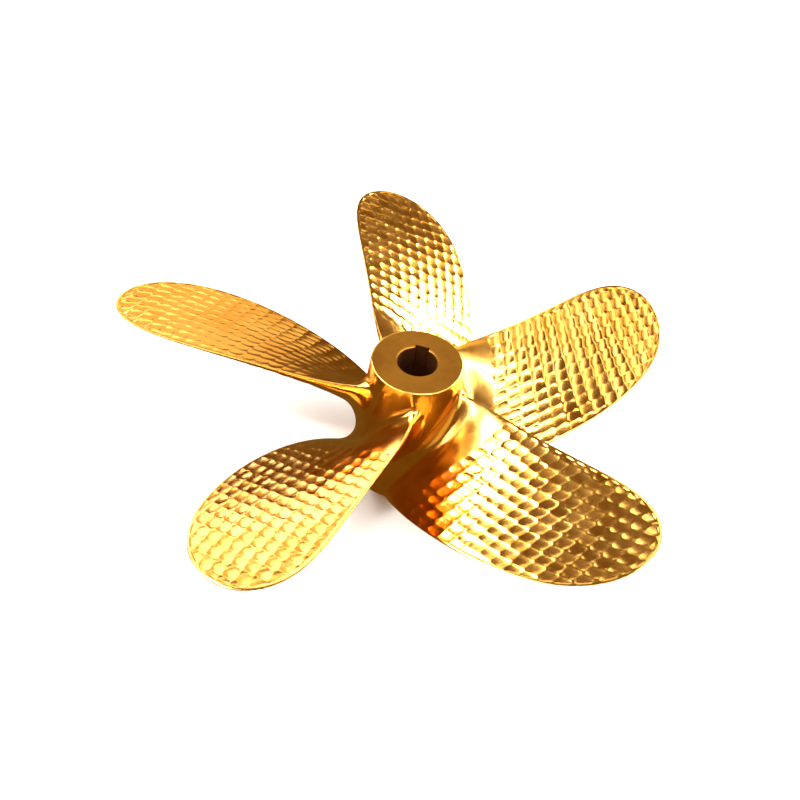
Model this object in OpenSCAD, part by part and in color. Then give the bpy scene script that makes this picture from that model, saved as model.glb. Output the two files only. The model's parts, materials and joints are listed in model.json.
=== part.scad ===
// Five-bladed, right-handed, fixed-pitch boat propeller, cast in bronze.
// The hub and every blade are separate nodes that meet on the hub's conical surface.
// The shaft axis is Z, and +Z points aft. The origin is on the axis, in the blades' reference plane,
// and blade_1 and the keyway point along +Y.
// All lengths are millimetres and all angles are degrees.

/* [Propeller] */
// Diameter over the blade tips
diameter = 1000; // [900:10:1150]
// Number of blades
blade_count = 5; // [3:1:5]

/* [Hub] */
// Outer diameter of the aft face
hub_aft_d = 154; // [146:2:180]
// Outer diameter of the forward face
hub_forward_d = 198; // [190:2:230]
// Height of the aft face above the reference plane
hub_aft_z = 136; // [130:2:160]
// Depth of the forward face below the reference plane
hub_forward_z = 114; // [112:2:130]
// Chamfer on the outer rim of both faces
hub_chamfer = 2; // [1:0.5:5]

/* [Shaft bore] */
// Diameter of the tapered bore at the aft face
bore_aft_d = 68; // [60:1:76]
// Length of bore for each millimetre that the diameter grows
bore_taper = 12; // [10:1:16]
// Width of the keyway
key_w = 24; // [14:1:25]
// Depth of the keyway below the bore's wall
key_depth = 4; // [3:0.5:9]
// Diameter of the recess for the seal in the forward face
seal_d = 124; // [110:2:140]
// Depth of that recess
seal_depth = 18; // [10:1:25]
// Chamfer on the bore's aft mouth
bore_chamfer = 2; // [1:0.5:4]

/* [Blade] */
// Pitch at the root
root_pitch = 715; // [690:5:780]
// Pitch at the tip
tip_pitch = 735; // [600:5:900]
// What the pitch gains at half length over the straight line from root to tip
pitch_bulge = 40; // [0:5:60]
// Chord at the root
root_chord = 248; // [210:2:250]
// Chord that the blade would have at the tip, were the tip not rounded off
tip_chord = 240; // [220:2:290]
// How square the tip is
tip_power = 6.5; // [4:0.25:8]
// Turn of the mid-chord line towards the trailing edge, at the tip
skew = 19.5; // [0:0.5:24]
// Distance that the tip leans aft
rake = 96; // [90:2:130]
// Thickness at the root
root_t = 37; // [30:1:42]
// Thickness at the tip
tip_t = 9; // [6:1:12]
// Share of the thickness that lies on the aft, pressure side
face_share = 0.2; // [0.1:0.05:0.5]
// Radius of the fillet between hub and blade
fillet_r = 30; // [20:1:32]

/* [Hidden] */
bronze = [0.80, 0.52, 0.16];
tip_r = diameter / 2;
ref_r = diameter / 10;           // radius where the blade's distributions start
skew_power = 0.75;               // below 1, the mid-chord line curves less and less
edge_flare = 0.2;                // share of the fillet that the thin edges get
sink = 7;                        // how far the blade's root ring lies under the hub's surface
fillet_cut = 2;                  // how much of the fillet's feather edge stays under the surface
fillet_span = 0.12;              // share of the blade's length that the closely spaced rings cover
tip_share = 0.9999;              // where the last ring lies
fillet_rings = 8;
rings = 32;
ring_points = 40;
hub_steps = 128;
overlap = 1;                     // how far a cut runs past the face that it opens

// Radius of the hub's conical surface at height z
function hub_r(z) =
    hub_forward_d / 2 + (hub_aft_d - hub_forward_d) / 2 * (z + hub_forward_z) / (hub_aft_z + hub_forward_z);

// Radius of the tapered bore at height z
function bore_r(z) = bore_aft_d / 2 + (hub_aft_z - z) / bore_taper / 2;

// The blade's distributions, by the share s of the way from the reference radius to the tip
function pitch(s) = root_pitch + (tip_pitch - root_pitch) * s + 4 * pitch_bulge * s * (1 - s);
function full_chord(s) = root_chord + (tip_chord - root_chord) * s;
function chord(s) = full_chord(s) * sqrt(1 - pow(max(s, 0), tip_power));
function skew_angle(s) = skew * pow(max(s, 0), skew_power);
function rake_z(s) = rake * s;
function thickness(s) = (root_t + (tip_t - root_t) * s) * min(1, 4 * chord(s) / root_chord);
function pitch_angle(s, r) = atan(pitch(s) / (2 * PI * r));

// What the fillet adds to the section's outline at a gap g from the hub's surface
function fillet(g) =
    let (rise = min(max(g + fillet_cut, 0), fillet_r))
    fillet_r - sqrt(pow(fillet_r, 2) - pow(fillet_r - rise, 2));

// Share of the blade's length at ring i: growing steps through the fillet, then closer and closer to the tip
function ring_share(i) =
    i < fillet_rings
        ? fillet_span * pow(i / fillet_rings, 1.5)
        : fillet_span + (tip_share - fillet_span) * sin(90 * (i - fillet_rings) / (rings - 1 - fillet_rings));

// A point of the blade's skin: a is the angle round the section, 0 at the trailing edge
function blade_point(share, a) =
    let (
        root_z = root_chord / 2 * cos(a) * sin(pitch_angle(0, ref_r)),
        root_r = hub_r(root_z) - sink,
        r = root_r + (tip_r - root_r) * share,
        s = (r - ref_r) / (tip_r - ref_r),
        lift = pitch_angle(s, r),
        base_z = rake_z(s) + skew_angle(s) / 360 * pitch(s),
        gap = r - hub_r(base_z + chord(s) / 2 * cos(a) * sin(lift)),
        grow = fillet(gap),
        along = (chord(s) / 2 + edge_flare * grow) * cos(a),
        side = sin(a) > 0 ? face_share : 1 - face_share,
        across = (side * thickness(s) + grow) * sin(a),
        turn = skew_angle(s) + (along * cos(lift) - across * sin(lift)) / r * 180 / PI
    )
    [r * cos(turn), r * sin(turn), base_z + along * sin(lift) + across * cos(lift)];

// Faces of a stack of closed rings, with a fan over each end
function stack_faces(ring_count, n) = concat(
    [for (i = [0:ring_count - 2], j = [0:n - 1]) [i * n + j, (i + 1) * n + j, (i + 1) * n + (j + 1) % n]],
    [for (i = [0:ring_count - 2], j = [0:n - 1]) [i * n + j, (i + 1) * n + (j + 1) % n, i * n + (j + 1) % n]],
    [for (j = [0:n - 1]) [ring_count * n, j, (j + 1) % n]],
    [for (j = [0:n - 1]) [ring_count * n + 1, (ring_count - 1) * n + (j + 1) % n, (ring_count - 1) * n + j]]
);

function mean(points) = [for (k = [0:2]) [for (p = points) p[k]] * [for (p = points) 1 / len(points)]];

// The hub's outer cone, with no bore
module hub_cone() {
    rotate_extrude($fn = hub_steps)
        polygon([
            [0, -hub_forward_z],
            [hub_forward_d / 2 - hub_chamfer, -hub_forward_z],
            [hub_r(hub_chamfer - hub_forward_z), hub_chamfer - hub_forward_z],
            [hub_r(hub_aft_z - hub_chamfer), hub_aft_z - hub_chamfer],
            [hub_aft_d / 2 - hub_chamfer, hub_aft_z],
            [0, hub_aft_z]
        ]);
}

// Tapered shaft bore, open at both ends, with the chamfer of its aft mouth
module shaft_bore() {
    translate([0, 0, -hub_forward_z - overlap])
        cylinder(
            h = hub_aft_z + hub_forward_z + 2 * overlap,
            r1 = bore_r(-hub_forward_z - overlap),
            r2 = bore_r(hub_aft_z + overlap),
            $fn = hub_steps
        );
    translate([0, 0, hub_aft_z - bore_chamfer])
        cylinder(h = 2 * bore_chamfer, r1 = bore_aft_d / 2, r2 = bore_aft_d / 2 + 2 * bore_chamfer, $fn = hub_steps);
}

// Keyway along +Y, whose floor follows the taper
module keyway() {
    length = hub_aft_z + hub_forward_z;
    translate([0, 0, hub_aft_z])
        rotate([-atan(1 / bore_taper / 2), 0, 0])
            translate([-key_w / 2, 0, -2 * length])
                cube([key_w, bore_aft_d / 2 + key_depth, 3 * length]);
}

// Recess for the shaft's seal ring in the forward face
module seal_recess() {
    translate([0, 0, -hub_forward_z - overlap])
        cylinder(h = seal_depth + overlap, d = seal_d, $fn = hub_steps);
}

module hub() {
    color(bronze)
        difference() {
            hub_cone();
            shaft_bore();
            keyway();
            seal_recess();
        }
}

// The blade that points along +X, down to the hub's surface
module blade() {
    skin = [
        for (i = [0:rings - 1], j = [0:ring_points - 1])
            blade_point(ring_share(i), 360 * j / ring_points)
    ];
    root = [for (j = [0:ring_points - 1]) skin[j]];
    tip = [for (j = [0:ring_points - 1]) skin[(rings - 1) * ring_points + j]];
    color(bronze)
        difference() {
            polyhedron(concat(skin, [mean(root), mean(tip)]), stack_faces(rings, ring_points), convexity = 6);
            hub_cone();
        }
}

hub();
for (i = [1:blade_count]) {
    rotate([0, 0, 90 + 360 / blade_count * (i - 1)]) blade();
}
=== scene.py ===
"""A right-handed, five-bladed bronze boat propeller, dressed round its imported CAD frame.

Every blade is grown by one Geometry Nodes tree from the blade's own rules: pitch, chord, skew, rake,
thickness and root fillet. The same tree grinds the scale pattern into both faces. The hub is a loft round
its profile, with the keyway as a notch in the inner rings. Lengths are metres and angles are radians, unless
a docstring says otherwise.
"""

import json
import logging
import math
from dataclasses import dataclass, field, fields
from enum import Enum
from typing import Any, Union

import bmesh
import bpy
from mathutils import Matrix, Vector


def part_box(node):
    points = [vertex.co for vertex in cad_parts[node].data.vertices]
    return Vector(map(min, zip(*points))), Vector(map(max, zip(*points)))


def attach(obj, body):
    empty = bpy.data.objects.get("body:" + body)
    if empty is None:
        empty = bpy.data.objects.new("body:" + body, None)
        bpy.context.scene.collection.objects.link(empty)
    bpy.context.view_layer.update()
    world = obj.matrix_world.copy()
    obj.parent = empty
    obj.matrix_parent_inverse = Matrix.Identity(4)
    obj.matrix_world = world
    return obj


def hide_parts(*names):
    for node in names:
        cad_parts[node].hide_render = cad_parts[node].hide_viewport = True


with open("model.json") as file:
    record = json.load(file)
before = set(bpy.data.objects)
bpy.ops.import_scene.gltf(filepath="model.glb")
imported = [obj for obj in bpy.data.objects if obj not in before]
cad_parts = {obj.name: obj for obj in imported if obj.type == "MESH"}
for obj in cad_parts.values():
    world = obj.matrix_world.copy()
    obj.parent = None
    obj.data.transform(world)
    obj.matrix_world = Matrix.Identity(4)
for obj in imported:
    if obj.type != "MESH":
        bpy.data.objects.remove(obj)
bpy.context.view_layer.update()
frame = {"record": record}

Colour = tuple[float, float, float]
Operand = Union[float, "Value"]

MM_PER_METRE = 1000

log = logging.getLogger("propeller")


# ---------------------------------------------------------------------------------------------- node graphs


class Value:
    """One number that runs through a node tree, usable in Python arithmetic."""

    def __init__(self, graph: "Graph", socket: bpy.types.NodeSocket) -> None:
        """Wraps an output socket.

        Args:
            graph: the graph that the socket belongs to.
            socket: the output socket to wrap.
        """
        self.graph = graph
        self.socket = socket

    def __add__(self, other: Operand) -> "Value":
        """Sum."""
        return self.graph.math("ADD", self, other)

    def __sub__(self, other: Operand) -> "Value":
        """Difference."""
        return self.graph.math("SUBTRACT", self, other)

    def __rsub__(self, other: Operand) -> "Value":
        """Difference, with this value on the right."""
        return self.graph.math("SUBTRACT", other, self)

    def __mul__(self, other: Operand) -> "Value":
        """Product."""
        return self.graph.math("MULTIPLY", self, other)

    def __truediv__(self, other: Operand) -> "Value":
        """Quotient."""
        return self.graph.math("DIVIDE", self, other)

    def __rtruediv__(self, other: Operand) -> "Value":
        """Quotient, with this value on the right."""
        return self.graph.math("DIVIDE", other, self)

    def __pow__(self, other: Operand) -> "Value":
        """Power."""
        return self.graph.math("POWER", self, other)

    def __gt__(self, other: Operand) -> "Value":
        """1 where this value is greater, else 0."""
        return self.graph.math("GREATER_THAN", self, other)

    def __lt__(self, other: Operand) -> "Value":
        """1 where this value is less, else 0."""
        return self.graph.math("LESS_THAN", self, other)

    __radd__ = __add__
    __rmul__ = __mul__

    def root(self) -> "Value":
        """Square root, of nothing below zero."""
        return self.graph.math("SQRT", self.at_least(0.0))

    def sine(self) -> "Value":
        """Sine."""
        return self.graph.math("SINE", self)

    def cosine(self) -> "Value":
        """Cosine."""
        return self.graph.math("COSINE", self)

    def floor(self) -> "Value":
        """Next whole number below."""
        return self.graph.math("FLOOR", self)

    def at_least(self, low: Operand) -> "Value":
        """The greater of this value and a lower bound."""
        return self.graph.math("MAXIMUM", self, low)

    def at_most(self, high: Operand) -> "Value":
        """The lesser of this value and an upper bound."""
        return self.graph.math("MINIMUM", self, high)

    def ramp(self, start: float, end: float) -> "Value":
        """Rises smoothly from 0 at start to 1 at end, and falls where end is below start.

        Args:
            start: where the result is 0.
            end: where the result is 1.

        Returns:
            The smooth step.
        """
        limits = {"Value": self, "From Min": start, "From Max": end}
        made = self.graph.node("ShaderNodeMapRange", {"interpolation_type": "SMOOTHSTEP"}, limits)
        return Value(self.graph, made.outputs[0])


class Graph:
    """Adds nodes to one tree and links them."""

    def __init__(self, tree: bpy.types.NodeTree) -> None:
        """Takes the tree to work in.

        Args:
            tree: a shader tree or a Geometry Nodes tree.
        """
        self.tree = tree

    def node(
        self, kind: str, settings: dict[str, Any] | None = None, inputs: dict | None = None
    ) -> bpy.types.Node:
        """Adds one node.

        Args:
            kind: the node's type name.
            settings: the node's own settings, which are set first.
            inputs: the values or links of its sockets, by socket name or number.

        Returns:
            The new node.
        """
        made = self.tree.nodes.new(kind)
        for name, setting in (settings or {}).items():
            setattr(made, name, setting)
        for name, value in (inputs or {}).items():
            self.feed(made.inputs[name], value)
        return made

    def feed(self, socket: bpy.types.NodeSocket, value: Any) -> None:
        """Links a socket to another, or sets its own value.

        Args:
            socket: the input socket.
            value: a Value, an output socket, or a plain number, colour or vector.
        """
        if isinstance(value, Value):
            value = value.socket
        if isinstance(value, bpy.types.NodeSocket):
            self.tree.links.new(value, socket)
        elif isinstance(value, tuple) and socket.type == "RGBA" and len(value) == 3:
            socket.default_value = (*value, 1.0)
        else:
            socket.default_value = value

    def math(self, operation: str, *operands: Operand) -> Value:
        """One Math node.

        Args:
            operation: the node's operation.
            operands: its values, in order.

        Returns:
            The node's result.
        """
        made = self.node("ShaderNodeMath", {"operation": operation}, dict(enumerate(operands)))
        return Value(self, made.outputs[0])

    def vector(self, x: Operand, y: Operand, z: Operand) -> bpy.types.NodeSocket:
        """Three numbers as one vector."""
        return self.node("ShaderNodeCombineXYZ", {}, {"X": x, "Y": y, "Z": z}).outputs[0]

    def split(self, vector: bpy.types.NodeSocket) -> tuple[Value, Value, Value]:
        """A vector or colour as three numbers."""
        made = self.node("ShaderNodeSeparateXYZ", {}, {0: vector})
        return tuple(Value(self, made.outputs[axis]) for axis in range(3))

    def mix_colour(self, factor: Operand, first: Any, second: Any) -> bpy.types.NodeSocket:
        """Mixes two colours.

        Args:
            factor: 0 for the first colour and 1 for the second.
            first: the first colour.
            second: the second colour.

        Returns:
            The mixed colour.
        """
        made = self.node("ShaderNodeMix", {"data_type": "RGBA"}, {0: factor, 6: first, 7: second})
        return made.outputs[2]

    def noise(self, vector: Any, scale: float, detail: float = 2.0, roughness: float = 0.5) -> Value:
        """Smooth noise from 0 to 1.

        Args:
            vector: where the noise is read.
            scale: how many features there are for each unit of the vector.
            detail: how many finer layers are added.
            roughness: how strong the finer layers are.

        Returns:
            The noise.
        """
        inputs = {"Vector": vector, "Scale": scale, "Detail": detail, "Roughness": roughness}
        return Value(self, self.node("ShaderNodeTexNoise", {}, inputs).outputs[0])

    def attribute(self, name: str) -> bpy.types.Node:
        """The node that reads one of the mesh's own attributes."""
        return self.node("ShaderNodeAttribute", {"attribute_name": name})


# ---------------------------------------------------------------------------------------------- sizes


@dataclass(frozen=True)
class HubForm:
    """The hub's sizes. The heights come from the frame."""

    aft_z: float
    forward_z: float
    aft_radius: float = 0.077
    forward_radius: float = 0.099
    bore_radius: float = 0.034
    bore_taper: float = 12.0
    key_width: float = 0.024
    key_depth: float = 0.004
    seal_radius: float = 0.062
    seal_depth: float = 0.018
    rim: float = 0.002

    @classmethod
    def from_frame(cls) -> "HubForm":
        """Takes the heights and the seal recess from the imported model.

        Returns:
            The hub's sizes.
        """
        low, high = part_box("hub")
        recess = next(m for m in frame["record"]["mounts"] if m["name"] == "seal_recess")["dims"]
        made = cls(
            aft_z=high.z,
            forward_z=low.z,
            seal_radius=recess["r_mm"] / MM_PER_METRE,
            seal_depth=recess["length_mm"] / MM_PER_METRE,
        )
        if abs(high.x - made.forward_radius) > made.rim:
            log.warning("the hub is %.1f mm wide in the frame", 2 * high.x * MM_PER_METRE)
        return made

    @property
    def slope(self) -> float:
        """Change of the cone's radius for each metre of height."""
        return (self.aft_radius - self.forward_radius) / (self.aft_z - self.forward_z)

    @property
    def cone_radius(self) -> float:
        """The cone's radius at height 0."""
        return self.forward_radius - self.forward_z * self.slope

    def bore_at(self, z: float) -> float:
        """The tapered bore's radius at a height."""
        return self.bore_radius + (self.aft_z - z) / self.bore_taper / 2


@dataclass(frozen=True)
class BladeForm:
    """The rules of one blade. Shares run from the reference radius to the tip."""

    tip_radius: float = 0.500
    reference_radius: float = 0.100
    root_pitch: float = 0.715
    tip_pitch: float = 0.735
    pitch_bulge: float = 0.040
    root_chord: float = 0.248
    tip_chord: float = 0.240
    tip_power: float = 6.5
    skew: float = math.radians(19.5)
    skew_power: float = 0.75
    rake: float = 0.096
    root_thickness: float = 0.037
    tip_thickness: float = 0.009
    face_share: float = 0.2
    fillet_radius: float = 0.030
    edge_flare: float = 0.2


@dataclass(frozen=True)
class ScaleForm:
    """The ground scale pattern: rows of nearly flat dishes with rounded ridges between them."""

    scale_pitch: float = 0.021
    row_pitch: float = 0.0245
    row_squeeze: float = 0.30
    scale_reach: float = 0.0125
    scale_depth: float = 0.0012
    depth_spread: float = 0.12
    hollow: float = 0.60
    ridge_round: float = 0.00016
    wander: float = 0.16
    column_lean: float = 0.0030
    pattern_start: float = 0.151
    row_bow: float = 0.150
    row_flattening: float = 0.70
    edge_band: float = 0.0035
    band_fade: float = 0.0040


# ---------------------------------------------------------------------------------------------- finishes


@dataclass(frozen=True)
class Bronze:
    """A bronze surface: its colours, its roughness and the marks of its making.

    The limits are the values of the noise between which the second colour comes in.
    """

    name: str
    light: Colour = (0.92, 0.53, 0.13)
    dark: Colour = (0.80, 0.40, 0.07)
    roughness: float = 0.16
    roughness_spread: float = 0.06
    blotch_scale: float = 11.0
    blotch_limits: tuple[float, float] = (0.35, 0.68)
    smear_scale_ratio: float = 3.7
    grain_scale: float = 900.0
    mark_depth: float = 0.00004

    def colour(self, graph: Graph, place: bpy.types.NodeSocket) -> Any:
        """The metal's colour, which drifts a little over the surface.

        Args:
            graph: the material's graph.
            place: object coordinates.

        Returns:
            The colour's socket.
        """
        drift = graph.noise(place, self.blotch_scale, detail=4.0, roughness=0.6)
        return graph.mix_colour(drift.ramp(*self.blotch_limits), self.light, self.dark)

    def gloss(self, graph: Graph, place: bpy.types.NodeSocket) -> Value:
        """The roughness, with faint smears.

        Args:
            graph: the material's graph.
            place: object coordinates.

        Returns:
            The roughness.
        """
        smears = graph.noise(place, self.blotch_scale * self.smear_scale_ratio, detail=3.0)
        return self.roughness + (smears - 0.5) * (2 * self.roughness_spread)

    def marks(self, graph: Graph, place: bpy.types.NodeSocket) -> Value:
        """The height of the finest marks, from 0 to 1.

        Args:
            graph: the material's graph.
            place: object coordinates.

        Returns:
            The marks' height.
        """
        return graph.noise(place, self.grain_scale, detail=2.0)

    def material(self) -> bpy.types.Material:
        """Builds the material.

        Returns:
            The finished material.
        """
        made = bpy.data.materials.new(self.name)
        made.use_nodes = True
        made.node_tree.nodes.clear()
        graph = Graph(made.node_tree)
        place = graph.node("ShaderNodeTexCoord").outputs["Object"]
        heights = {"Strength": 1.0, "Distance": self.mark_depth, "Height": self.marks(graph, place)}
        bump = graph.node("ShaderNodeBump", {}, heights)
        shader = graph.node(
            "ShaderNodeBsdfPrincipled",
            {},
            {
                "Base Color": self.colour(graph, place),
                "Roughness": self.gloss(graph, place),
                "Metallic": 1.0,
                "Normal": bump.outputs[0],
            },
        )
        graph.node("ShaderNodeOutputMaterial", {}, {"Surface": shader.outputs[0]})
        return made


@dataclass(frozen=True)
class GroundBronze(Bronze):
    """Blade bronze: ground scales, a polished root and bright worn edges.

    The smoothest scale adds ground_roughness to the roughness, and the roughest adds cell_spread to that.
    """

    grit_across: float = 1500.0
    grit_along: float = 60.0
    face_offset: float = 10.0
    scratch_lean: float = 0.3
    scratch_spread: float = 1.2
    cell_tint: float = 0.45
    cell_spread: float = 0.08
    ground_roughness: float = -0.02
    worn: Colour = (0.93, 0.58, 0.16)
    wear_width: float = 0.007
    wear_strength: float = 0.8
    nick_scale: float = 160.0
    nick_limits: tuple[float, float] = (0.30, 0.62)

    def colour(self, graph: Graph, place: bpy.types.NodeSocket) -> Any:
        """Drifts over the blade, differs from scale to scale, and brightens at the edge.

        Args:
            graph: the material's graph.
            place: object coordinates.

        Returns:
            The colour's socket.
        """
        scales = Value(graph, graph.attribute("scales").outputs["Fac"])
        cell = Value(graph, graph.attribute("cell").outputs["Fac"])
        edge = Value(graph, graph.attribute("edge").outputs["Fac"])
        metal = super().colour(graph, place)
        metal = graph.mix_colour(scales * cell * self.cell_tint, metal, self.dark)
        nicks = graph.noise(place, self.nick_scale, detail=3.0).ramp(*self.nick_limits)
        wear = edge.ramp(self.wear_width, 0.0) * nicks
        return graph.mix_colour(wear * self.wear_strength, metal, self.worn)

    def gloss(self, graph: Graph, place: bpy.types.NodeSocket) -> Value:
        """Each scale has its own roughness, mostly above that of the root and the edge band.

        Args:
            graph: the material's graph.
            place: object coordinates.

        Returns:
            The roughness.
        """
        scales = Value(graph, graph.attribute("scales").outputs["Fac"])
        cell = Value(graph, graph.attribute("cell").outputs["Fac"])
        return super().gloss(graph, place) + scales * (cell * self.cell_spread + self.ground_roughness)

    def marks(self, graph: Graph, place: bpy.types.NodeSocket) -> Value:
        """Grinding scratches, turned a little from scale to scale and not the same on both faces.

        Args:
            graph: the material's graph.
            place: object coordinates, which the blade's own places stand in for.

        Returns:
            The marks' height.
        """
        cell = Value(graph, graph.attribute("cell").outputs["Fac"])
        on_blade = graph.attribute("place").outputs["Vector"]
        turn = {"Vector": on_blade, "Angle": cell * self.scratch_spread + self.scratch_lean}
        turned = graph.node("ShaderNodeVectorRotate", {"rotation_type": "Z_AXIS"}, turn)
        across, along, face = graph.split(turned.outputs[0])
        grit = graph.vector(across * self.grit_across, along * self.grit_along, face * self.face_offset)
        return graph.noise(grit, 1.0, detail=3.0, roughness=0.6)


@dataclass(frozen=True)
class TurnedBronze(Bronze):
    """A face cut on a lathe: fine rings round the shaft axis."""

    ring_pitch: float = 0.0011
    ring_swing: float = 0.25
    uneven_scale: float = 700.0
    uneven_share: float = 0.5

    def marks(self, graph: Graph, place: bpy.types.NodeSocket) -> Value:
        """Concentric tool rings of uneven depth.

        Args:
            graph: the material's graph.
            place: object coordinates.

        Returns:
            The marks' height.
        """
        x, y, z = graph.split(place)
        radius = (x * x + y * y).root()
        rings = (radius * (math.tau / self.ring_pitch)).sine() * self.ring_swing + 0.5
        section = graph.vector(radius * self.uneven_scale, z * self.uneven_scale, 0.0)
        uneven = graph.noise(section, 1.0, detail=2.0)
        return rings * (1 - self.uneven_share) + uneven * self.uneven_share


# ---------------------------------------------------------------------------------------------- blades


class BladeSkin:
    """The Geometry Nodes tree that grows one blade's skin from its rules.

    The skin is a grid, AROUND points round the section and SPAN rows from the root to the tip. Its constants
    say how the rows and points are spread. Each size, the turn, the seed and the material are the tree's
    named inputs, and are read here as attributes.
    """

    GROUP_NAME = "blade_skin"
    AROUND = 280
    SPAN = 300
    EDGE_CROWDING = 0.2
    TIP_CROWDING = 0.05
    FILLET_ROWS = 22
    SUNK_SHARE = 0.004
    POLE_SHARE = 0.75
    ROOT_SIN_LIFT = 0.76
    SETTLING = 3
    MERGE_DISTANCE = 1e-6
    PATTERN_FADE = (-0.0006, 0.0014)

    def __init__(self, hub: HubForm, blade: BladeForm, scales: ScaleForm) -> None:
        """Builds the tree.

        Args:
            hub: the hub that the blades stand on.
            blade: the blade's rules.
            scales: the ground pattern's sizes.
        """
        tree = bpy.data.node_groups.new(self.GROUP_NAME, "GeometryNodeTree")
        self.graph = Graph(tree)
        self.identifiers: dict[str, str] = {}
        self.numbers: dict[str, Value] = {}
        self.sizes: dict[str, float] = {"hub_slope": hub.slope, "hub_cone_radius": hub.cone_radius}
        for form in (blade, scales):
            self.sizes.update({f.name: getattr(form, f.name) for f in fields(form)})
        tree.interface.new_socket(name="Skin", in_out="OUTPUT", socket_type="NodeSocketGeometry")
        for name in (*self.sizes, "turn", "seed"):
            self._declare(name, "NodeSocketFloat")
        self._declare("material", "NodeSocketMaterial")
        given = self.graph.node("NodeGroupInput")
        for place, name in enumerate(self.identifiers):
            self.numbers[name] = Value(self.graph, given.outputs[place])
        self._build()

    def _declare(self, name: str, kind: str) -> None:
        """Adds one named input to the tree.

        Args:
            name: the input's name.
            kind: its socket type.
        """
        socket = self.graph.tree.interface.new_socket(name=name, in_out="INPUT", socket_type=kind)
        self.identifiers[name] = socket.identifier

    def __getattr__(self, name: str) -> Value:
        """Reads a named input of the tree as a value.

        Args:
            name: the input's name.

        Returns:
            The input.
        """
        numbers = self.__dict__.get("numbers", {})
        if name in numbers:
            return numbers[name]
        raise AttributeError(name)

    def _build(self) -> None:
        """Lays the whole tree: grid, attributes, placed points, closed seam, smooth faces, material."""
        g = self.graph
        spacing = {"Size X": 1.0, "Size Y": 1.0, "Vertices X": self.AROUND + 1, "Vertices Y": self.SPAN + 1}
        mesh = g.node("GeometryNodeMeshGrid", {}, spacing).outputs[0]
        x, y, _ = g.split(g.node("GeometryNodeInputPosition").outputs[0])
        even = (x + 0.5) * math.tau
        angle = even + (even * 2).sine() * self.EDGE_CROWDING
        cos_a, sin_a = angle.cosine(), angle.sine()
        row = ((y + 0.5) * self.SPAN + 0.5).floor()
        station = self._station(self._share(row), cos_a, sin_a)
        pattern = self._pattern(station, sin_a)
        for name, kind, value in pattern["attributes"]:
            stored = {"Geometry": mesh, "Name": name, "Value": value}
            mesh = g.node("GeometryNodeStoreNamedAttribute", {"data_type": kind}, stored).outputs[0]
        point = self._point(station, pattern["relief"])
        inner = self.hub_cone_radius * self.POLE_SHARE
        pole = g.vector(inner * self.turn.cosine(), inner * self.turn.sine(), 0.0)
        choice = {0: row < 0.5, 4: point, 5: pole}
        placed = g.node("ShaderNodeMix", {"data_type": "VECTOR"}, choice).outputs[1]
        mesh = g.node("GeometryNodeSetPosition", {}, {"Geometry": mesh, "Position": placed}).outputs[0]
        merged = {"Geometry": mesh, "Distance": self.MERGE_DISTANCE}
        mesh = g.node("GeometryNodeMergeByDistance", {}, merged).outputs[0]
        mesh = g.node("GeometryNodeSetShadeSmooth", {}, {"Geometry": mesh}).outputs[0]
        mesh = g.node("GeometryNodeRealizeInstances", {}, {"Geometry": mesh}).outputs[0]
        mesh = g.node("GeometryNodeSetMaterial", {}, {"Geometry": mesh, "Material": self.material}).outputs[0]
        g.node("NodeGroupOutput", {}, {0: mesh})

    def _share(self, row: Value) -> Value:
        """How far a row lies from the hub's surface to the tip, from 0 to 1.

        The first row is the pole in the hub, the second lies just under the surface, the next rows follow the
        fillet's arc, and the rest are even until they crowd together at the tip.

        Args:
            row: the row's number.

        Returns:
            The row's share.
        """
        crowd = self.TIP_CROWDING
        arc_share = self.fillet_radius / (self.tip_radius - self.hub_cone_radius)
        on_arc = ((row - 2) / self.FILLET_ROWS).at_least(0).at_most(1)
        first = 2 + self.FILLET_ROWS
        left = 1 - ((row - first) / (self.SPAN - first)).at_least(0).at_most(1)
        body = 1 - left * left * (1 + crowd) / (left + crowd)
        rise = arc_share * (1 - (on_arc * (math.pi / 2)).cosine())
        return rise + (1 - arc_share) * body - (row < 1.5) * self.SUNK_SHARE

    def _station(self, share: Value, cos_a: Value, sin_a: Value) -> dict[str, Value]:
        """Works out a point's section, settling the hub's radius under the flared skin.

        Args:
            share: how far the point lies from the hub's surface to the tip.
            cos_a: cosine of the angle round the section, 1 at the trailing edge.
            sin_a: its sine, 1 on the aft, pressure side.

        Returns:
            The named values that place the point.
        """
        reach = self.root_chord / 2 * cos_a
        hub = self.hub_cone_radius + self.hub_slope * reach * self.ROOT_SIN_LIFT
        for _ in range(self.SETTLING):
            station = self._section(hub, share, cos_a, sin_a)
            hub = self.hub_cone_radius + self.hub_slope * station["z"]
        return self._section(hub, share, cos_a, sin_a)

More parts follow.
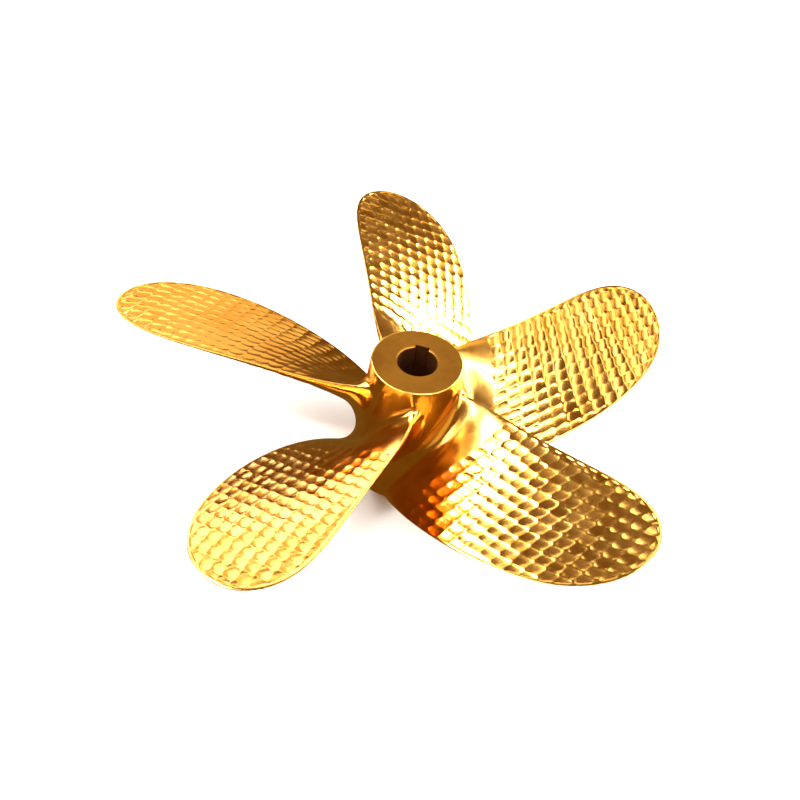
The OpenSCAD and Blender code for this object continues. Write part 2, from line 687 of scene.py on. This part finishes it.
    def _section(self, hub: Value, share: Value, cos_a: Value, sin_a: Value) -> dict[str, Value]:
        """The blade's rules at one point, for a given radius of the hub below it.

        Args:
            hub: the hub's radius under the point.
            share: how far the point lies from the hub's surface to the tip.
            cos_a: cosine of the angle round the section.
            sin_a: its sine.

        Returns:
            The named values that place the point.
        """
        r = hub + (self.tip_radius - hub) * share
        s = (r - self.reference_radius) / (self.tip_radius - self.reference_radius)
        out = s.at_least(0.0)
        pitch = self.root_pitch + (self.tip_pitch - self.root_pitch) * s + self.pitch_bulge * 4 * s * (1 - s)
        tangent = pitch / (r * math.tau)
        cos_lift = 1 / (tangent * tangent + 1).root()
        sin_lift = tangent * cos_lift
        full = self.root_chord + (self.tip_chord - self.root_chord) * s
        chord = full * (1 - out**self.tip_power).root()
        skew = self.skew * out**self.skew_power
        thick = self.root_thickness + (self.tip_thickness - self.root_thickness) * s
        thick = thick * (chord * 4 / self.root_chord).at_most(1.0)
        left = self.fillet_radius - (r - hub).at_least(0.0).at_most(self.fillet_radius)
        grow = self.fillet_radius - (self.fillet_radius * self.fillet_radius - left * left).root()
        side = (1 - self.face_share) + (self.face_share * 2 - 1) * (sin_a > 0.0)
        along = (chord / 2 + self.edge_flare * grow) * cos_a
        across = (side * thick + grow) * sin_a
        base_z = self.rake * s + skew / math.tau * pitch
        z = base_z + along * sin_lift + across * cos_lift
        return {
            "r": r,
            "out": out,
            "z": z,
            "base_z": base_z,
            "skew": skew,
            "full": full,
            "chord_x": chord / 2 * cos_a,
            "along": along,
            "across": across,
            "cos_lift": cos_lift,
            "sin_lift": sin_lift,
        }

    def _point(self, station: dict[str, Value], relief: Value) -> bpy.types.NodeSocket:
        """Places a point of the skin.

        Args:
            station: the point's section.
            relief: what the ground pattern adds across the blade.

        Returns:
            The point.
        """
        across = station["across"] + relief
        round_axis = station["along"] * station["cos_lift"] - across * station["sin_lift"]
        turn = self.turn + station["skew"] + round_axis / station["r"]
        z = station["base_z"] + station["along"] * station["sin_lift"] + across * station["cos_lift"]
        return self.graph.vector(station["r"] * turn.cosine(), station["r"] * turn.sine(), z)

    def _edge_distance(self, station: dict[str, Value]) -> Value:
        """Distance from a point to the blade's outline, near enough close to it.

        Args:
            station: the point's section.

        Returns:
            The distance.
        """
        span = self.tip_radius - self.reference_radius
        x = station["chord_x"]
        half = station["full"] / 2
        power = station["out"] ** (self.tip_power - 1)
        inside = 1 - power * station["out"] - (x / half) ** 2
        down = self.tip_power * power / span
        sideways = x * 2 / (half * half)
        return inside / (down * down + sideways * sideways + 1).root()

    def _pattern(self, station: dict[str, Value], sin_a: Value) -> dict[str, Any]:
        """Grinds the scales: each is a shallow dish, and neighbouring dishes meet in a rounded ridge.

        Args:
            station: the point's section.
            sin_a: sine of the angle round the section.

        Returns:
            The relief across the blade, and the attributes that the finish reads.
        """
        x, r = station["chord_x"], station["r"]
        height = r - x * x / (2 * (self.row_bow + self.row_flattening * r))
        y = height - self.pattern_start
        squeeze = 1 + self.row_squeeze * y
        row = y / self.row_pitch * squeeze
        step_y = self.row_pitch / (1 + self.row_squeeze * 2 * y)
        face = (sin_a > 0.0) * 2 - 1
        lowest, cell = None, None
        first_row = (row - 0.5).floor()
        for ahead in (0, 1):
            number = first_row + ahead
            stray = self._hash(number, self.seed, face)[0] * self.wander * self.scale_pitch
            lean = self.column_lean * number + stray
            column = (x + lean) / self.scale_pitch
            first = (column - 0.5).floor()
            for beside in (0, 1):
                place = first + beside
                chance = self._hash(number, place, self.seed + face)
                dx = x + lean - (place + 0.5 + (chance[0] - 0.5) * self.wander) * self.scale_pitch
                dy = (row - number - 0.5 - (chance[1] - 0.5) * self.wander) * step_y
                deep = self.scale_depth * (1 + (chance[2] - 0.5) * self.depth_spread)
                reach = (dx * dx + dy * dy) / (self.scale_reach * self.scale_reach)
                level = deep * (reach * (self.hollow + (1 - self.hollow) * reach) - 1)
                if lowest is None:
                    lowest, cell = level, chance[0]
                else:
                    cell = cell + (chance[0] - cell) * (level < lowest)
                    lowest = self.graph.math("SMOOTH_MIN", lowest, level, self.ridge_round)
        lowest = self.graph.math("SMOOTH_MIN", lowest, 0.0, self.ridge_round)
        edge = self._edge_distance(station)
        band = ((edge - self.edge_band) / self.band_fade).ramp(0.0, 1.0)
        mask = band * y.ramp(*self.PATTERN_FADE)
        relief = lowest * mask * face
        attributes = [
            ("scales", "FLOAT", mask),
            ("cell", "FLOAT", cell),
            ("edge", "FLOAT", edge),
            ("place", "FLOAT_VECTOR", self.graph.vector(x, height, face)),
        ]
        return {"relief": relief, "attributes": attributes}

    def _hash(self, first: Operand, second: Operand, third: Operand) -> tuple[Value, Value, Value]:
        """Three fixed chances from 0 to 1 for three numbers.

        Args:
            first: the first number.
            second: the second number.
            third: the third number.

        Returns:
            The chances.
        """
        numbers = {"Vector": self.graph.vector(first, second, third)}
        made = self.graph.node("ShaderNodeTexWhiteNoise", {}, numbers)
        return self.graph.split(made.outputs["Color"])

    def grow(self, name: str, turn: float, seed: float, material: bpy.types.Material) -> bpy.types.Object:
        """Evaluates the tree once and keeps the result as a plain mesh.

        Args:
            name: the new piece's name.
            turn: the blade's angle about the shaft axis.
            seed: what makes this blade's pattern its own.
            material: the blade's finish.

        Returns:
            The finished piece.
        """
        piece = bpy.data.objects.new(name, bpy.data.meshes.new(name))
        bpy.context.scene.collection.objects.link(piece)
        modifier = piece.modifiers.new("skin", "NODES")
        modifier.node_group = self.graph.tree
        given = {**self.sizes, "turn": turn, "seed": seed, "material": material}
        for key, value in given.items():
            modifier[self.identifiers[key]] = value
        depsgraph = bpy.context.evaluated_depsgraph_get()
        mesh = bpy.data.meshes.new_from_object(
            piece.evaluated_get(depsgraph), preserve_all_data_layers=True, depsgraph=depsgraph
        )
        piece.modifiers.remove(modifier)
        piece.data = mesh
        mesh.name = name
        return piece


@dataclass
class Blades:
    """The ring of blades."""

    skin: BladeSkin
    finish: Bronze
    count: int = 5
    first_turn: float = math.pi / 2
    seed_step: float = 17.0

    def build(self) -> list[bpy.types.Object]:
        """Grows every blade and ties it to its CAD node.

        Returns:
            The blades.
        """
        material = self.finish.material()
        made = []
        for number in range(1, self.count + 1):
            turn = self.first_turn + math.tau * (number - 1) / self.count
            piece = self.skin.grow(f"blade_{number}_skin", turn, self.seed_step * number, material)
            tie(piece, f"blade_{number}")
            made.append(piece)
        return made


# ---------------------------------------------------------------------------------------------- hub


class Zone(Enum):
    """The differently finished parts of the hub, by material slot. The turned faces and the bore also have
    darkened colours, which are painted shade.
    """

    POLISHED = 0
    TURNED = 1
    BORE = 2


@dataclass
class Ring:
    """One ring of the hub's loft."""

    radius: float
    z: float
    notched: bool = False
    zone: Zone = Zone.POLISHED


@dataclass
class Hub:
    """The hub: a cone with a keyed, tapered bore and a seal recess, lofted round its profile.

    The turned part of an end face stops face_margin rim widths from its edge, and the cone's even rings start
    cone_margin rim widths from it.
    """

    form: HubForm
    # The zones' materials: the colours of the turned faces and the bore are darkened, which is painted shade.
    finishes: dict[Zone, Bronze]
    mouth_lip: float = 0.002
    face_inset: float = 0.006
    seal_lip: float = 0.001
    face_margin: float = 2.5
    cone_margin: float = 1.5
    sharp_angle: float = math.radians(35)
    around: int = 240
    key_floor_points: int = 9
    key_wall_points: int = 4
    rim_steps: int = 5
    cone_rings: int = 24
    bore_rings: int = 14

    def profile(self) -> list[Ring]:
        """The closed profile, from the bore's aft mouth over the outside and back up the bore.

        Returns:
            The rings, each with the zone of the band that follows it.
        """
        f = self.form
        margin = f.rim * self.cone_margin
        rings = [
            Ring(f.bore_radius + self.mouth_lip, f.aft_z, True, Zone.TURNED),
            Ring(f.bore_radius + self.face_inset, f.aft_z, False, Zone.TURNED),
        ]
        rings += self._rim(f.aft_z, 1.0)
        low, high = f.forward_z + margin, f.aft_z - margin
        for step in range(1, self.cone_rings):
            z = high + (low - high) * step / self.cone_rings
            rings.append(Ring(f.cone_radius + f.slope * z, z))
        rings += reversed(self._rim(f.forward_z, -1.0))
        rings[-1].zone = Zone.TURNED
        floor_z = f.forward_z + f.seal_depth
        rings.append(Ring(f.seal_radius + self.seal_lip, f.forward_z, False, Zone.BORE))
        rings.append(Ring(f.seal_radius, f.forward_z + self.seal_lip, False, Zone.BORE))
        rings.append(Ring(f.seal_radius, floor_z, False, Zone.BORE))
        for step in range(self.bore_rings):
            z = floor_z + (f.aft_z - self.mouth_lip - floor_z) * step / (self.bore_rings - 1)
            rings.append(Ring(f.bore_at(z), z, True, Zone.BORE))
        rings[-1].zone = Zone.TURNED
        return rings

    def _rim(self, z: float, up: float) -> list[Ring]:
        """The rounded rim between an end face and the cone.

        Args:
            z: the end face's height.
            up: 1 for the aft face and -1 for the forward face.

        Returns:
            The rim's rings, from the face to the cone.
        """
        f = self.form
        cone = f.cone_radius + f.slope * z
        rings = [Ring(cone - f.rim * self.face_margin, z, False, Zone.TURNED)]
        for step in range(self.rim_steps + 1):
            angle = math.pi / 2 * step / self.rim_steps
            height = z - up * f.rim * (1 - math.cos(angle))
            radius = cone - f.rim * (1 - math.sin(angle)) + f.slope * (height - z)
            rings.append(Ring(radius, height))
        return rings

    def _angles(self) -> list[float]:
        """The angles from +Y at which a round ring has its points, dense at the key.

        Returns:
            The angles, from the keyway's floor all the way round.
        """
        f = self.form
        corner = math.atan(f.key_width / 2 / (f.bore_radius + f.key_depth))
        wall = math.asin(f.key_width / 2 / f.bore_radius)
        floor = [corner * (2 * i / (self.key_floor_points - 1) - 1) for i in range(self.key_floor_points)]
        steps = range(1, self.key_wall_points + 1)
        walls = [corner + (wall - corner) * i / self.key_wall_points for i in steps]
        free = self.around - self.key_floor_points - 2 * self.key_wall_points
        rest = [wall + (math.tau - 2 * wall) * i / (free + 1) for i in range(1, free + 1)]
        return floor + walls + rest + [math.tau - w for w in reversed(walls)]

    def _points(self, ring: Ring, angles: list[float]) -> list[Vector]:
        """The points of one ring.

        Args:
            ring: the ring's radius, height and notch.
            angles: the angles from +Y.

        Returns:
            One point for each angle.
        """
        f = self.form
        if not ring.notched:
            return [Vector((ring.radius * math.sin(a), ring.radius * math.cos(a), ring.z)) for a in angles]
        half, deep = f.key_width / 2, f.bore_at(ring.z) + f.key_depth
        mouth = math.sqrt(ring.radius**2 - half**2)
        n, m = self.key_floor_points, self.key_wall_points
        points = [Vector((half * (2 * i / (n - 1) - 1), deep, ring.z)) for i in range(n)]
        wall = [Vector((half, deep + (mouth - deep) * i / m, ring.z)) for i in range(1, m + 1)]
        free = self.around - n - 2 * m
        edge = math.asin(half / ring.radius)
        for i in range(1, free + 1):
            a = edge + (math.tau - 2 * edge) * i / (free + 1)
            wall.append(Vector((ring.radius * math.sin(a), ring.radius * math.cos(a), ring.z)))
        mirrored = [Vector((-p.x, p.y, p.z)) for p in reversed(wall[:m])]
        return points + wall + mirrored

    def build(self) -> bpy.types.Object:
        """Lofts the hub and ties it to its CAD node.

        Returns:
            The hub.
        """
        rings, angles = self.profile(), self._angles()
        points = [p for ring in rings for p in self._points(ring, angles)]
        count = len(angles)
        faces, zones = [], []
        for i, ring in enumerate(rings):
            after = (i + 1) % len(rings)
            for j in range(count):
                k = (j + 1) % count
                faces.append((i * count + j, after * count + j, after * count + k, i * count + k))
                zones.append(ring.zone.value)
        mesh = bpy.data.meshes.new("hub_body")
        mesh.from_pydata(points, [], faces)
        for zone in Zone:
            mesh.materials.append(self.finishes[zone].material())
        mesh.polygons.foreach_set("material_index", zones)
        recalculate(mesh)
        mesh.shade_smooth()
        mesh.set_sharp_from_angle(angle=self.sharp_angle)
        piece = bpy.data.objects.new("hub_body", mesh)
        bpy.context.scene.collection.objects.link(piece)
        return tie(piece, "hub")


def recalculate(mesh: bpy.types.Mesh) -> None:
    """Turns every face of a closed mesh outwards.

    Args:
        mesh: the mesh to mend in place.
    """
    work = bmesh.new()
    work.from_mesh(mesh)
    bmesh.ops.recalc_face_normals(work, faces=work.faces)
    work.to_mesh(mesh)
    work.free()


def tie(piece: bpy.types.Object, node: str) -> bpy.types.Object:
    """Ties a piece to the frame in place of its CAD node.

    Args:
        piece: the finished piece.
        node: the CAD node that it stands for.

    Returns:
        The same piece.
    """
    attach(piece, "root")
    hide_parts(node)
    log.info("%s: %d faces", piece.name, len(piece.data.polygons))
    return piece


# ---------------------------------------------------------------------------------------------- studio

WARM: Colour = (1.0, 0.80, 0.45)
PALE: Colour = (1.0, 0.95, 0.92)


@dataclass(frozen=True)
class Softbox:
    """A rectangular light that looks at the propeller.

    All its angles are degrees, seen from the origin: azimuth 0 is +Y and 90 is +X, and width and height are
    how much of the view it fills.
    """

    name: str
    azimuth: float
    elevation: float
    width: float
    height: float
    brightness: float
    roll: float = 0.0
    distance: float = 5.0
    colour: Colour = (1.0, 0.99, 0.97)

    def build(self) -> None:
        """Places the light. Its brightness is what a mirror would show of it."""
        data = bpy.data.lights.new(self.name, "AREA")
        data.shape = "RECTANGLE"
        data.size, data.size_y = (
            2 * self.distance * math.tan(math.radians(angle / 2)) for angle in (self.width, self.height)
        )
        data.energy = self.brightness * math.pi * data.size * data.size_y
        data.color = self.colour
        lamp = bpy.data.objects.new(self.name, data)
        lamp.visible_camera = False
        a, e = math.radians(self.azimuth), math.radians(self.elevation)
        towards = Vector((math.sin(a) * math.cos(e), math.cos(a) * math.cos(e), math.sin(e)))
        side = Vector((math.cos(a), -math.sin(a), 0.0))
        up = side.cross(towards)
        roll = math.radians(self.roll)
        x_axis = side * math.cos(roll) + up * math.sin(roll)
        y_axis = towards.cross(x_axis)
        axes = Matrix((x_axis, y_axis, towards)).transposed()
        lamp.matrix_world = Matrix.Translation(towards * self.distance) @ axes.to_4x4()
        bpy.context.scene.collection.objects.link(lamp)


@dataclass(frozen=True)
class Viewpoint:
    """The camera: where it stands, how it is turned and what it takes in. Its angles are degrees."""

    elevation: float = 42.88
    azimuth: float = -1.05
    roll: float = 14.69
    distance: float = 1.5153
    across: float = -0.1822
    above: float = -0.0851
    lens: float = 38.36
    sensor: float = 36.0
    farthest: float = 200.0
    shift_x: float = -0.1395
    shift_y: float = -0.0401

    def build(self) -> None:
        """Makes the scene's camera."""
        e, a, roll = (math.radians(v) for v in (self.elevation, self.azimuth, self.roll))
        back = Vector((math.sin(a) * math.cos(e), -math.cos(a) * math.cos(e), math.sin(e)))
        level = Vector((math.cos(a), math.sin(a), 0.0))
        up = back.cross(level)
        right = level * math.cos(roll) + up * math.sin(roll)
        top = up * math.cos(roll) - level * math.sin(roll)
        data = bpy.data.cameras.new("viewpoint")
        data.lens, data.sensor_width = self.lens, self.sensor
        data.shift_x, data.shift_y = self.shift_x, self.shift_y
        data.clip_end = self.farthest
        camera = bpy.data.objects.new("viewpoint", data)
        stand = back * self.distance - right * self.across - top * self.above
        axes = Matrix((right, top, back)).transposed()
        camera.matrix_world = Matrix.Translation(stand) @ axes.to_4x4()
        bpy.context.scene.collection.objects.link(camera)
        bpy.context.scene.camera = camera


@dataclass
class Studio:
    """Floor, backdrop, surrounding and lights. The fill's spread is in degrees."""

    floor_z: float
    floor_radius: float = 30.0
    floor_colour: Colour = (0.90, 0.90, 0.89)
    floor_roughness: float = 0.9
    wall_share: float = 0.99
    segments: int = 96
    fill: float = 2.4
    fill_spread: float = 100.0
    surrounding: Colour = (1.0, 0.52, 0.08)
    surrounding_strength: float = 0.18
    lights: list[Softbox] = field(default_factory=list)

    def build(self) -> None:
        """Makes the floor, the backdrop, the world and the lights."""
        self._floor()
        self._backdrop()
        self._world()
        self._fill()
        for light in self.lights:
            light.build()
        bpy.context.scene.view_settings.view_transform = "Standard"

    def _stage(self, name: str, mesh: bpy.types.Mesh, material: bpy.types.Material) -> bpy.types.Object:
        """Adds a piece of the set, which the metal doesn't mirror.

        Args:
            name: the piece's name.
            mesh: its shape.
            material: its finish.

        Returns:
            The piece.
        """
        mesh.materials.append(material)
        piece = bpy.data.objects.new(name, mesh)
        piece.visible_glossy = False
        bpy.context.scene.collection.objects.link(piece)
        return piece

    def _floor(self) -> None:
        """A plain pale floor under the hub's forward face."""
        work = bmesh.new()
        bmesh.ops.create_circle(work, cap_ends=True, segments=self.segments, radius=self.floor_radius)
        bmesh.ops.translate(work, verts=work.verts, vec=(0.0, 0.0, self.floor_z))
        mesh = bpy.data.meshes.new("floor")
        work.to_mesh(mesh)
        work.free()
        material = bpy.data.materials.new("pale_floor")
        material.use_nodes = True
        shader = material.node_tree.nodes["Principled BSDF"]
        shader.inputs["Base Color"].default_value = (*self.floor_colour, 1.0)
        shader.inputs["Roughness"].default_value = self.floor_roughness
        shader.inputs["Specular IOR Level"].default_value = 0.0
        self._stage("floor", mesh, material)

    def _backdrop(self) -> None:
        """A pale wall just inside the floor's edge, for low views. It lights nothing and casts no shadow."""
        work = bmesh.new()
        radius = self.floor_radius * self.wall_share
        bmesh.ops.create_cone(work, segments=self.segments, radius1=radius, radius2=radius, depth=radius)
        mesh = bpy.data.meshes.new("backdrop")
        work.to_mesh(mesh)
        work.free()
        material = bpy.data.materials.new("pale_wall")
        material.use_nodes = True
        material.node_tree.nodes.clear()
        graph = Graph(material.node_tree)
        glow = graph.node("ShaderNodeEmission", {}, {"Color": self.floor_colour, "Strength": 1.0})
        graph.node("ShaderNodeOutputMaterial", {}, {"Surface": glow.outputs[0]})
        wall = self._stage("backdrop", mesh, material)
        wall.visible_diffuse = False
        wall.visible_shadow = False

    def _fill(self) -> None:
        """Broad light from above, which the metal doesn't mirror."""
        data = bpy.data.lights.new("fill", "SUN")
        data.energy = self.fill
        data.angle = math.radians(self.fill_spread)
        lamp = bpy.data.objects.new("fill", data)
        lamp.visible_glossy = False
        bpy.context.scene.collection.objects.link(lamp)

    def _world(self) -> None:
        """A dim warm surrounding, which the metal shows between the lights."""
        world = bpy.data.worlds.new("surrounding")
        world.use_nodes = True
        world.node_tree.nodes.clear()
        graph = Graph(world.node_tree)
        glow = {"Color": self.surrounding, "Strength": self.surrounding_strength}
        back = graph.node("ShaderNodeBackground", {}, glow)
        graph.node("ShaderNodeOutputWorld", {}, {"Surface": back.outputs[0]})
        bpy.context.scene.world = world


# ---------------------------------------------------------------------------------------------- the whole


def main() -> None:
    """Builds the propeller and its studio."""
    logging.basicConfig(level=logging.INFO, format="%(name)s: %(message)s")
    form = HubForm.from_frame()
    Viewpoint().build()
    hub = Hub(
        form,
        {
            Zone.POLISHED: Bronze("polished_bronze", roughness=0.15),
            # The turned end faces get dark colours: painted shade, for the dim surroundings that they mirror.
            Zone.TURNED: TurnedBronze(
                "turned_bronze", light=(0.32, 0.14, 0.016), dark=(0.24, 0.095, 0.010), roughness=0.38
            ),
            # The bore and the seal recess get dark colours: painted shade inside the hollows.
            Zone.BORE: TurnedBronze(
                "bore_bronze", light=(0.30, 0.12, 0.04), dark=(0.18, 0.07, 0.025), roughness=0.48
            ),
        },
    )
    hub.build()
    blades = Blades(BladeSkin(form, BladeForm(), ScaleForm()), GroundBronze("ground_bronze"))
    blades.build()
    Studio(
        form.forward_z,
        lights=[  # name, azimuth, elevation, width, height, brightness
            Softbox("left_strip", -77.0, 42.0, 40.0, 10.0, 34.0, roll=-36.0),
            Softbox("right_strip", 46.0, 34.0, 32.0, 15.0, 32.0, roll=50.0),
            Softbox("right_panel", 62.0, 36.0, 34.0, 60.0, 1.3, distance=6.0, colour=WARM),
            Softbox("back_panel", -8.0, 18.0, 30.0, 36.0, 1.1, distance=6.0, colour=WARM),
            Softbox("back_strip", -30.0, 36.0, 50.0, 4.0, 4.0, roll=-10.0),
            Softbox("left_panel", -37.0, 11.0, 20.0, 32.0, 4.4, colour=PALE),
            Softbox("far_strip", 102.0, 36.0, 56.0, 14.0, 6.0, roll=18.0),
            Softbox("top_strip", 60.0, 78.0, 70.0, 9.0, 4.0),
            Softbox("front_strip", 176.0, 66.0, 90.0, 5.0, 22.0),
            Softbox("front_tube", -140.0, 34.0, 50.0, 4.0, 18.0, roll=-10.0),
            Softbox("front_panel", 150.0, 14.0, 60.0, 20.0, 0.8, colour=WARM),
        ],
    ).build()


if __name__ == "__main__":
    main()
